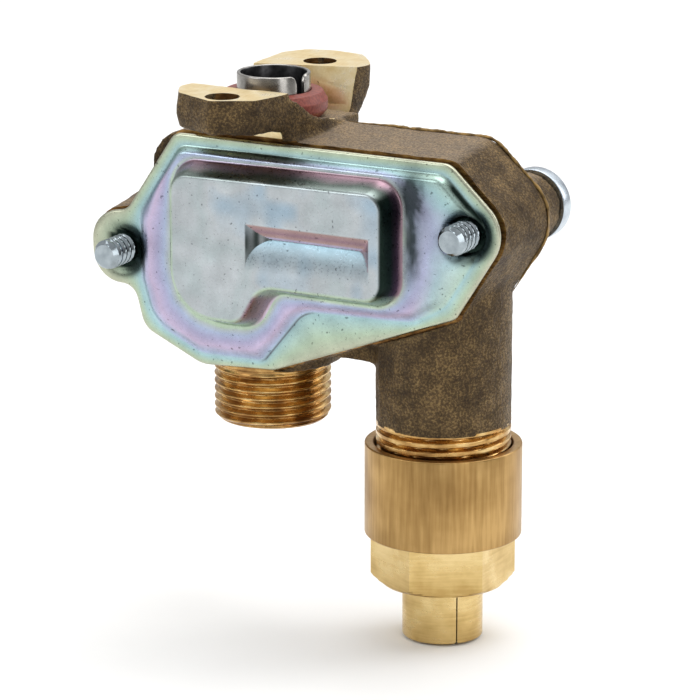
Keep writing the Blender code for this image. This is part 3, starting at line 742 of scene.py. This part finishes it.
def film_and_painted_shade_colours(place, colours, settings):
    """The chromate film's colour at each point: a row of tints across the lip, another across the
    first step from its edge to the raised wall, and patches on the raised face; over these, painted
    reflections and shade: tints on the steep walls by the way they face, dark marks beside the wall,
    on the step's edge and crease and round the screws, a shadow under each dimple, and tints on
    each part of the trough by the way it faces."""
    def tint(name):
        """One of the film's colours, as linear values."""
        return np.array(linear(getattr(colours, "film_" + name))[:3])

    def row(value, *stops):
        """Colours read off a row of (place, tint) stops."""
        codes = np.array([tint(name) for at, name in stops])
        return np.stack([np.interp(value, [at for at, name in stops], codes[:, k]) for k in range(3)], 1)

    raised_outline = rounded(RAISED_OUTLINE)
    plateau, raised, rim = (inside_distance(place, outline) for outline in (
        rounded(PLATEAU_OUTLINE), raised_outline, rounded(COVER_OUTLINE)))
    x, z = place[:, 0], place[:, 1]
    # The film's black tint serves only for painted shade and dark reflections.
    black = tint("black")
    step = 0.4
    slope = np.stack([
        inside_distance(place - move, raised_outline) - inside_distance(place + move, raised_outline)
        for move in np.eye(2) * step], 1) / (2 * step)
    up, right = np.clip(slope[:, 1], 0, 1), np.clip(slope[:, 0], 0, 1)
    spot = np.insert(place, 1, 0.0, axis=1)
    drift = lattice_noise(spot, 13.0, 21) + 0.4 * lattice_noise(spot, 4.0, 22)
    streak = lattice_noise(spot * np.array([1.0, 1.0, 0.3]), 1.2, 23)

    # The first step and the lip, each a row of tints across its width, and the raised face.
    across = plateau / np.maximum(plateau - raised, 0.1) - 0.08 * drift
    ring = row(across, (0.0, "aqua"), (0.16, "blue"), (0.4, "pink"), (0.62, "lilac"), (0.8, "blue"),
               (0.93, "grey"), (1.0, "green"))
    upper = ramp(z, -22, 8) + ramp(x, 42, 6) * 0.8
    ring = mix(ring, row(across + 0.2 * drift, (0.0, "green"), (0.4, "aqua"), (0.7, "blue"),
                         (1.0, "grey")), upper)
    lip = row(rim / np.maximum(rim - plateau, 0.1), (0.0, "gold"), (0.45, "green"), (1.0, "aqua"))
    face = row(drift - 0.25 * np.clip((x + 4) / 20, -1, 1),
               (-0.8, "silver"), (-0.2, "grey"), (0.3, "silver"), (0.9, "sky"))
    result = mix(lip, ring, plateau / 0.8)

    # The steep wall, tinted by the way it faces: painted reflections and shade on its upper side, a dark
    # painted reflection on its right side, and a pink painted reflection at the foot of its right side.
    part = np.clip(raised / settings.wall_width, 0, 1)
    wall = mix(ring, row(part + 0.12 * drift, (0.0, "lilac"), (0.16, "rose"), (0.4, "mauve"), (0.62, "dark"),
                         (0.82, "slate"), (1.0, "grey")), up * 1.1)
    wall = mix(wall, row(part, (0.0, "rose"), (0.14, "mauve"), (0.32, "plum"), (0.5, "black"),
                         (0.84, "black"), (1.0, "grey")), (right - 0.35) * 2.2 * ramp(z, -43.5, 3))
    wall = mix(wall, row(part, (0.0, "pink"), (0.45, "peach"), (0.8, "rose"), (1.0, "grey")),
               (right - 0.3) * 2 * ramp(z, -42.5, -2))
    result = mix(result, wall, raised / 0.4)
    result = mix(result, face, (raised - settings.wall_width * 0.9) / 0.6)

    # Painted shade and dark reflections: beside the wall's right side and near its upper right corner, along
    # the low step's crease, and on the step's edge along the top and the upper right.
    wall_shade = np.exp(-((raised + 2.0 + 0.5 * streak) / 1.6) ** 2) * np.clip((right - 0.5) * 3, 0, 1)
    wall_shade = wall_shade * ramp(z, -40, 9)
    blob = np.exp(-(np.hypot((x - 42.6) / 3.4, (z + 19.4) / 5.4)) ** 2) * np.clip(-raised / 0.6, 0, 1)
    ragged = 1 + 0.35 * lattice_noise(spot * np.array([1.0, 1.0, 0.25]), 0.5, 24) + 0.3 * drift
    result = mix(result, black, np.clip(1.1 * np.maximum(0.85 * wall_shade, blob) * ragged, 0, 0.9))
    crease = np.exp(-((plateau - 0.3) / 0.25) ** 2) * ramp(x, 4.0, 2) * ramp(x, 19.0, -3)
    result = mix(result, tint("plum"), crease * (z < -46.5) * 0.75)
    edge = np.exp(-((plateau - 0.7) / 0.55) ** 2)
    shaded_edge_span = ramp(z, -16, 2) * np.clip(1 - np.abs(x - 6) / 22, 0, 1) + ramp(x, 50, 2) * ramp(z, -24.5, 2) * 1.3
    result = mix(result, black, edge * shaded_edge_span * 0.9)

    # A painted dark reflection round each screw, wider towards the right, and a painted shadow under its
    # dimple.
    for axis in SCREW_AXES.values():
        away = place - np.array(axis)
        far = np.linalg.norm(away, axis=1)
        facing = 0.6 + 0.4 * (away[:, 0] - 0.2 * away[:, 1]) / np.maximum(far, 0.1)
        halo = np.clip(1 - (far - SCREW_R - 1.3) / (2.2 + 1.5 * facing + 0.5 * drift), 0, 1)
        result = mix(result, black, smooth(halo * 1.4) * np.clip(facing, 0, 0.9))
        result = mix(result, black, (SCREW_R + 1.7 - far) / 0.4)

    # The trough, tinted by the way each part faces: painted reflections on its upper side and on the slope
    # below it, a rose painted reflection on the right fan, and painted shade on the left fan.
    share, over, left_fan, right_fan = trough(place)
    result = mix(result, row(share, (0.0, "grey"), (0.12, "peach"), (0.5, "rose"), (0.78, "peach"),
                             (0.93, "lilac"), (1.0, "mauve")), (share * 8) * over * ~left_fan)
    low_side = (share > 0) & ~over & ~left_fan
    result = mix(result, tint("slope"), np.sqrt(share) * 0.9 * low_side)
    result = mix(result, tint("rose"), right_fan * (share > 0.02) * 0.7)
    result = mix(result, black, left_fan * np.clip(share * 14, 0, 1) * (0.72 + 0.28 * streak))
    return np.clip(result, 0, 1)


def reach(outline, turn):
    """Distance from the cover's middle to a closed outline in each direction."""
    away = resample(outline, 4000) - COVER_MIDDLE
    angle = np.arctan2(away[:, 1], away[:, 0])
    order = np.argsort(angle)
    return np.interp(turn, angle[order], np.hypot(away[:, 0], away[:, 1])[order], period=math.tau)


def cover_rings(rim, counts, settings):
    """Rings of points from the rim to the middle, spread evenly between the outlines that they
    pass on each ray: rim, step edge, step top, wall foot, wall top, middle."""
    away = rim - COVER_MIDDLE
    turn = np.arctan2(away[:, 1], away[:, 0])
    step = rounded(PLATEAU_OUTLINE)
    wall = rounded(RAISED_OUTLINE)
    wall_top = offset(resample(wall, 900), -settings.wall_width)
    marks = [np.hypot(away[:, 0], away[:, 1]), reach(step, turn),
             reach(step, turn) - settings.step_width, reach(wall, turn), reach(wall_top, turn), 0 * turn]
    for k in range(1, 5):
        marks[k] = np.minimum(marks[k], marks[k - 1] - 0.05)
    radii = [marks[k] + (marks[k + 1] - marks[k]) * part
             for k, count in enumerate(counts) for part in np.arange(count) / count]
    radii = np.array(radii + [marks[5]])[:, :, None]
    return COVER_MIDDLE + radii * np.stack([np.cos(turn), np.sin(turn)], 1)[None]


class VALVE_OT_cover(bpy.types.Operator):
    """Build the pressed cover as one sheet with a rounded rim"""
    bl_idname = "valve.cover"
    bl_label = "Cover"

    def execute(self, context):
        settings = context.scene.valve_cover
        rim = resample(rounded(COVER_OUTLINE), settings.rim_points)
        front = cover_rings(offset(rim, -0.35), (8, 12, 20, 22, 92), settings)
        back = cover_rings(offset(rim, -0.2), (3, 5, 4, 8, 8), settings)
        place = front[::-1].reshape(-1, 2)
        back_place = back.reshape(-1, 2)
        back_depth = np.minimum(COVER_HIGH[1] - cover_front(back_place, settings), COVER_HIGH[1])
        points = np.vstack([np.insert(place, 1, LIP_Y - cover_front(place, settings), axis=1),
                            np.insert(rim, 1, LIP_Y + 0.3, axis=1),
                            np.insert(rim, 1, COVER_HIGH[1] - 0.2, axis=1),
                            np.insert(back_place, 1, back_depth, axis=1)])
        faces = grid_faces(len(front) + len(back) + 2, len(rim), close_rows=False)
        made = piece("pressed_cover", points, faces, FINISHES["sheet"], 60.0)
        mesh = made.data
        place = read(mesh.vertices, "co")[:, [0, 2]] / MM
        # The film attribute holds the film's tints and the painted reflections and shade laid over them.
        film = np.ones((len(place), 4))
        film[:, :3] = film_and_painted_shade_colours(place, context.scene.valve_colours, settings)
        mesh.attributes.new("film", "FLOAT_COLOR", "POINT").data.foreach_set("color", film.ravel())
        house(made, "zinc_sheet", "front_cover")
        return {"FINISHED"}


class VALVE_OT_cover_screws(bpy.types.Operator):
    """Build the two cover screws, with threaded tips and hexagon heads, and their collars"""
    bl_idname = "valve.cover_screws"
    bl_label = "Cover Screws"

    def execute(self, context):
        settings = context.scene.valve_threads
        for side, (low, high) in SCREWS.items():
            centre = SCREW_AXES[side]
            collar_low, collar_high = COLLARS[side]
            shank = threaded("screw_shank_" + side, SCREW_R + 0.25, 0.0, (collar_high[1], low[1]),
                             settings.screw_pitch, settings.screw_depth, centre, FINISHES["screw"],
                             along_y=True, chamfer=0.9, run_in=4.0, flat=0.25)
            head = hexagon("screw_head_" + side, high[2] - low[2], collar_high[1] + 0.05, high[1],
                           centre, FINISHES["zinc"], along_y=True)
            ring_r = (collar_high[0] - collar_low[0]) / 2
            ring = soft_profile([(SCREW_R + 0.3, collar_low[1]), (ring_r, collar_low[1]),
                                 (ring_r, collar_high[1] - 0.7), (ring_r - 0.7, collar_high[1]),
                                 (SCREW_R + 0.3, collar_high[1])], 0.25)
            collar = turned("zinc_collar_" + side, ring, centre, FINISHES["zinc"], along_y=True)
            house(shank, "zinc_hardware", "cover_screw_" + side)
            house(head, "zinc_hardware")
            house(collar, "zinc_hardware", "screw_collar_" + side)
        return {"FINISHED"}


def hexagon(name, flats, first, last, centre, material, along_y=False, bore=0.0):
    """A hexagon bar: the radius is the flat's distance over the cosine of the angle from it, cut
    by a 30 degree cone at the last end."""
    turn = np.linspace(0, math.tau, 6 * 24, endpoint=False)
    from_flat = (turn + math.pi / 6) % (math.pi / 3) - math.pi / 6
    flat_radius = flats / 2 / np.cos(from_flat)
    run = np.concatenate([[0, 0.4], np.linspace(0.5, 1, 12)])
    span = abs(last - first)
    height = first + (last - first) * run
    cone = flats / 2 - 0.15 + (1 - run) * span * 1.73
    radius = np.minimum(flat_radius[:, None], cone[None, :])
    radius = np.hstack([np.full((len(turn), 1), bore), radius, np.full((len(turn), 1), bore)])
    height = np.concatenate([[first], height, [last]])
    points = place_round(radius, turn[:, None], height[None, :], centre, along_y)
    return piece(name, points, grid_faces(*radius.shape), material, 20.0)


# ---------------------------------------------------------------- the top port and the cap
def split_ring(name, inner, outer, low, high, slot_at, slot, corner, centre, material, facets=160,
               round_top=True, room=None):
    """A ring with a slot: a rounded wall section carried round, its end pulled in by a quarter
    circle beside the slot so that the slot's mouth has round corners."""
    half = slot / 2 / outer
    turn = np.linspace(half, math.tau - half, facets) + math.radians(slot_at)
    edge = np.minimum(turn - turn[0], turn[-1] - turn) * outer
    reach = np.clip(edge, 0, corner)
    drop = corner - np.sqrt(np.maximum(corner ** 2 - (corner - reach) ** 2, 0))
    wall = (outer - inner) / 2
    lip = min(0.35, wall * 0.9)
    corners = [(inner, low, lip), (outer, low, lip)]
    if room:
        wide, floor = room
        corners += [(outer, high, 0.1), (wide, high, 0.1), (wide, floor, 0.1), (inner, floor, 0.1)]
    else:
        corners += [(outer, high, lip), (inner, high, lip)]
    section = rounded(corners[::-1], 4)
    is_top = section[:, 1] > (low + high) / 2
    pull = is_top if round_top else ~is_top
    sign = -1.0 if round_top else 1.0
    height = section[None, :, 1] + sign * drop[:, None] * pull[None, :]
    points = place_round(np.broadcast_to(section[None, :, 0], height.shape), turn[:, None], height, centre)
    return piece(name, points, capped_faces(facets, len(section)), material, 35.0)


class VALVE_OT_port_fittings(bpy.types.Operator):
    """Build the split sleeve and the seal in the top port"""
    bl_idname = "valve.port_fittings"
    bl_label = "Port Fittings"

    def execute(self, context):
        sleeve = split_ring("split_sleeve", 7.35, SLEEVE_HIGH[0], SLEEVE_LOW[2], SLEEVE_HIGH[2],
                            -14.0, 2.4, 1.6, (0.0, 0.0), FINISHES["steel"])
        # Its inner faces take the darker copy of the steel: painted shade inside the bore.
        sleeve.data.materials.append(FINISHES["shaded_steel_inside"])
        centres = read(sleeve.data.polygons, "center") / MM
        inside = np.hypot(centres[:, 0], centres[:, 1]) < 7.5
        sleeve.data.polygons.foreach_set("material_index", inside.astype(np.int32))
        low, top, wide = SEAL_LOW[2], SEAL_HIGH[2], SEAL_HIGH[0]
        profile = rounded([(8.35, low, 0.3), (10.8, low, 0.7), (wide, low + 1.4, 1.2), (wide, low + 3.5, 0.8),
                           (10.9, top - 0.3, 0.3), (8.35, top, 0.25)], 6)
        seal = turned("lipped_seal", profile, (0.0, 0.0), FINISHES["seal"], 128, sharp=50.0)
        house(sleeve, "stainless", "locating_sleeve")
        house(seal, "red_rubber", "port_seal")
        return {"FINISHED"}


class VALVE_OT_cap_nut(bpy.types.Operator):
    """Build the cap nut: turned skirt, hexagon and slit spigot"""
    bl_idname = "valve.cap_nut"
    bl_label = "Cap Nut"

    def execute(self, context):
        axis = (STUB_X, 0.0)
        skirt = soft_profile([
            (15.45, CAP_HIGH[2]), (CAP_R, CAP_HIGH[2]), (CAP_R, SKIRT_END_Z), (10.9, SKIRT_END_Z),
            (10.9, -90.6), (15.45, -90.6)], 0.35)
        skirt = turned("cap_skirt", skirt, axis, FINISHES["skirt"], 160)
        bar = hexagon("cap_hexagon", HEX_FLATS, SKIRT_END_Z + 0.1, HEX_END_Z, axis, FINISHES["hexagon"],
                      bore=8.5)
        spigot = split_ring("cap_spigot", SPIGOT_BORE_R, SPIGOT_R, CAP_LOW[2], HEX_END_Z + 0.6, -42.0, 0.3,
                            0.3, axis, FINISHES["hexagon"], round_top=False, room=SCREW_ROOM)
        house(skirt, "turned_brass", "spring_cap")
        house(bar, "turned_brass")
        house(spigot, "turned_brass")
        return {"FINISHED"}


class VALVE_OT_inner_parts(bpy.types.Operator):
    """Wind the relief spring and give the plain inner parts their finishes"""
    bl_idname = "valve.inner_parts"
    bl_label = "Inner Parts"

    def execute(self, context):
        wire = 0.75
        turns = 6.0
        steps, sides = 480, 14
        mean = (SPRING_HIGH[0] - SPRING_LOW[0]) / 2 - wire
        t = np.linspace(0, 1, steps)[:, None]
        angle = math.tau * turns * t
        height = SPRING_HIGH[2] - wire - (SPRING_HIGH[2] - SPRING_LOW[2] - 2 * wire) * t
        round_wire = np.linspace(0, math.tau, sides, endpoint=False)[None, :]
        radius = mean + wire * np.cos(round_wire)
        points = place_round(radius, angle, height + wire * np.sin(round_wire), (STUB_X, 0.0))
        spring = piece("wound_spring", points, capped_faces(steps, sides), FINISHES["wire"], 60.0)
        house(spring, "spring_steel", "relief_spring")
        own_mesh(spring)
        finishes = {
            "seat_ring": "steel", "disc_washer": "black", "valve_disc": "hexagon", "disc_nut": "hexagon",
            "valve_stem": "steel", "upper_spring_cup": "steel", "spring_seat": "steel",
            "adjusting_screw": "thread", "cap_seal": "fibre", "cover_gasket": "fibre"}
        for node, finish in finishes.items():
            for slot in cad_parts[node].material_slots:
                slot.link = "OBJECT"
                slot.material = FINISHES[finish]
        return {"FINISHED"}


# ---------------------------------------------------------------- the stage
def soft_light(name, place, target, size, power):
    """An oblong white studio light at a place in metres, turned to a target."""
    lamp = bpy.data.lights.new(name, "AREA")
    lamp.shape = "RECTANGLE"
    lamp.size, lamp.size_y = size
    lamp.energy = power
    made = bpy.data.objects.new(name, lamp)
    bpy.context.scene.collection.objects.link(made)
    aim = np.array(target) - np.array(place)
    look(made, place, aim)


def look(made, place, aim):
    """Turns a light or the camera so that its -Z points along a direction, its Y upwards."""
    made.location = place
    made.rotation_euler = Vector(aim).to_track_quat("-Z", "Y").to_euler()


def white_room(strength):
    """A white room: brightest overhead and to the left, darker low down to the right."""
    world = bpy.data.worlds.new("white_room")
    world.use_nodes = True
    tree = world.node_tree
    direction = add_node(tree, "TexCoord").outputs["Generated"]
    turned_way = add_node(tree, "VectorMath", {"operation": "DOT_PRODUCT"}, {
        0: direction, 1: (-0.55, 0.1, 0.83)})
    shade = add_node(tree, "ValToRGB", feeds={"Fac": add_node(tree, "MapRange", feeds={
        "Value": turned_way.outputs["Value"], "From Min": -0.7, "From Max": 0.7}).outputs["Result"]}, stops=[
        (0.0, "3C3C3C"), (0.75, "FFFFFF"), (0.4, "A8A8A8")])
    sight = add_node(tree, "LightPath")
    seen = add_node(tree, "Mix", {"data_type": "RGBA"}, {
        "Factor": sight.outputs["Is Camera Ray"], 6: shade.outputs["Color"], 7: (1.6, 1.6, 1.6, 1.0)})
    back = tree.nodes["Background"]
    tree.links.new(seen.outputs[2], back.inputs["Color"])
    back.inputs["Strength"].default_value = strength
    return world


class VALVE_OT_stage(bpy.types.Operator):
    """Lay the floor and set the studio lights and the camera"""
    bl_idname = "valve.stage"
    bl_label = "Stage"

    def execute(self, context):
        settings = context.scene.valve_stage
        floor_z = FLOOR_Z * MM - 0.0005
        outline = np.array([(-3.0, -3.0), (3.0, -3.0), (3.0, 3.0), (-3.0, 3.0)])
        corners = np.insert(outline, 2, floor_z, axis=1) / MM
        floor = piece("floor", corners, [(0, 1, 2, 3)], speckled(
            "matt_white_floor", "F1F1F0", "F3F3F2", 30.0, 0.0, 0.85, 0.0))
        aim = np.array(settings.aim) * MM
        azimuth = settings.azimuth
        elevation = settings.elevation
        away = np.array([math.sin(azimuth) * math.cos(elevation),
                         -math.cos(azimuth) * math.cos(elevation), math.sin(elevation)])
        camera = bpy.data.cameras.new("camera")
        camera.lens = settings.lens
        camera.sensor_width = 36.0
        camera.clip_end = 20.0
        made = bpy.data.objects.new("camera", camera)
        context.scene.collection.objects.link(made)
        look(made, (aim + away * settings.distance * MM).tolist(), (-away).tolist())
        context.scene.camera = made
        for light in (("key_left", (-0.55, -0.75, 0.5), aim, (0.5, 0.7), 2.6),
                      ("fill_right", (0.75, -0.45, 0.25), aim, (0.35, 0.7), 1.6),
                      ("top", (0.05, 0.1, 0.8), aim, (0.8, 0.6), 3.7),
                      ("rim_right", (0.6, 0.6, 0.3), aim, (0.3, 0.6), 2.0),
                      ("floor_wash", (0.0, 1.2, 1.3), (0.0, 1.2, 0.0), (2.4, 2.0), 16.0)):
            soft_light(*light)
        context.scene.world = white_room(settings.surround)
        context.scene.view_settings.view_transform = "Standard"
        return {"FINISHED"}


# ---------------------------------------------------------------- settings and panel
def number(name, description, default, **more):
    """A setting that holds a size or a strength."""
    return bpy.props.FloatProperty(name=name, description=description, default=default, **more)


class ValveCasting(bpy.types.PropertyGroup):
    """Sizes of the casting's skin."""
    voxel: number("Voxel", "Remesh size in millimetres", 0.72, min=0.4)
    relax_passes: bpy.props.IntProperty(
        name="Relax", description="Passes that round the cast edges", default=3)
    grain: number("Grain", "Depth of the sand grain in mm", 0.16)
    flash: number("Flash", "Size of the parting line's bead in mm", 0.5)
    stock: number("Stock", "Metal left on machined planes in mm", 1.2)


class ValveThreads(bpy.types.PropertyGroup):
    """Spacing and depth of each thread."""
    inlet_pitch: number("Inlet Pitch", "Spacing of turns in mm", 1.814)
    inlet_depth: number("Inlet Depth", "Depth of the thread in mm", 1.0)
    stub_pitch: number("Stub Pitch", "Spacing of turns in mm", 2.0)
    stub_depth: number("Stub Depth", "Depth of the thread in mm", 1.0)
    screw_pitch: number("Screw Pitch", "Spacing of turns in mm", 1.8)
    screw_depth: number("Screw Depth", "Depth of the thread in mm", 0.8)


class ValveCover(bpy.types.PropertyGroup):
    """Sizes of the pressed cover's steps and hollows."""
    step_width: number("Step Width", "Width of the low step in mm", 2.0)
    wall_width: number("Wall Width", "Width of the high wall in mm", 3.4)
    dent: number("Trough", "Depth of the trough in mm", 1.45)
    dimple: number("Dimple", "Depth around each screw in mm", 1.1)
    rim_points: bpy.props.IntProperty(name="Rim Points", description="Points along the rim", default=500)


# Each finish's colours by tone, as sRGB hex values.
SHADES = {
    # The cast's pale grey tone for faces pointing up is a painted sheen.
    "cast": {"dark": "362A1D", "middle": "463826", "light": "5C4B34", "speck": "A58756", "dust": "948574"},
    "milled": {"dark": "DCC084", "middle": "EED8A4", "light": "FAEAC4"},
    "brass": {"dark": "BC9C60", "middle": "D3B67A", "light": "E0C68E"},
    "thread": {"dark": "86623A", "middle": "B58E56", "light": "DDBF86"},
    "skirt": {"dark": "947345", "middle": "A98754", "light": "BD9A64"},
    # The film's rose, mauve, plum, peach, slate, dark, slope and black tints are painted reflections and
    # shade on the cover's walls, screws, step and trough; lilac, pink and grey also serve there as well as in
    # the film.
    "film": {"gold": "B7B8A2", "green": "AFC2AC", "aqua": "A3C3C6", "blue": "A8B4CE", "lilac": "AAA8C6",
             "pink": "C0B2CC", "rose": "907680", "mauve": "88707A", "grey": "AEB8BB", "silver": "B7BDC1",
             "sky": "9DB2C2", "peach": "A68C88", "slope": "7F9CAA", "plum": "473544", "slate": "7E8A86",
             "dark": "4E5652", "black": "1B2622"},
}


class ValveColours(bpy.types.PropertyGroup):
    """One text setting for each colour of each finish, such as cast_dark."""
    __annotations__ = {
        finish + "_" + tone: bpy.props.StringProperty(
            name=(finish + " " + tone).title(), description="sRGB hex value", default=code)
        for finish, tones in SHADES.items() for tone, code in tones.items()}


class ValveStage(bpy.types.PropertyGroup):
    """Where the camera stands, and how bright the room is."""
    azimuth: number("Azimuth", "Camera's turn to the right of the cover", math.radians(28.5), subtype="ANGLE")
    elevation: number("Elevation", "Camera's height angle", math.radians(15.2), subtype="ANGLE")
    distance: number("Distance", "Camera to aim point in mm", 892.0)
    lens: number("Lens", "Focal length in mm", 205.7)
    aim: bpy.props.FloatVectorProperty(name="Aim", description="Aim point in mm", default=(19.2, 0.0, -59.6))
    surround: number("Surround", "Strength of the white room", 0.66)


class VALVE_PT_panel(bpy.types.Panel):
    """Lists the valve's builders in the 3D view's sidebar"""
    bl_idname = "VALVE_PT_panel"
    bl_label = "Relief Valve"
    bl_space_type = "VIEW_3D"
    bl_region_type = "UI"
    bl_category = "Valve"

    def draw(self, context):
        for operator in OPERATORS:
            self.layout.operator(operator.bl_idname)


GROUPS = {"valve_casting": ValveCasting, "valve_threads": ValveThreads, "valve_cover": ValveCover,
          "valve_colours": ValveColours, "valve_stage": ValveStage}
OPERATORS = [VALVE_OT_casting, VALVE_OT_parting_flash, VALVE_OT_threads, VALVE_OT_cover,
             VALVE_OT_cover_screws, VALVE_OT_port_fittings, VALVE_OT_cap_nut, VALVE_OT_inner_parts,
             VALVE_OT_stage]


def register():
    """Registers the settings, the operators and the panel."""
    for name, group in GROUPS.items():
        bpy.utils.register_class(group)
        setattr(bpy.types.Scene, name, bpy.props.PointerProperty(type=group))
    for item in OPERATORS + [VALVE_PT_panel]:
        bpy.utils.register_class(item)


def unregister():
    """Takes everything that register added away again."""
    for item in reversed(OPERATORS + [VALVE_PT_panel]):
        bpy.utils.unregister_class(item)
    for name, group in reversed(GROUPS.items()):
        delattr(bpy.types.Scene, name)
        bpy.utils.unregister_class(group)


def main():
    """Builds every piece in order."""
    register()
    make_finishes(bpy.context.scene.valve_colours)
    bpy.ops.valve.stage()
    bpy.ops.valve.casting()
    bpy.ops.valve.parting_flash()
    bpy.ops.valve.threads()
    bpy.ops.valve.cover()
    bpy.ops.valve.cover_screws()
    bpy.ops.valve.port_fittings()
    bpy.ops.valve.cap_nut()
    bpy.ops.valve.inner_parts()


if __name__ == "__main__":
    main()
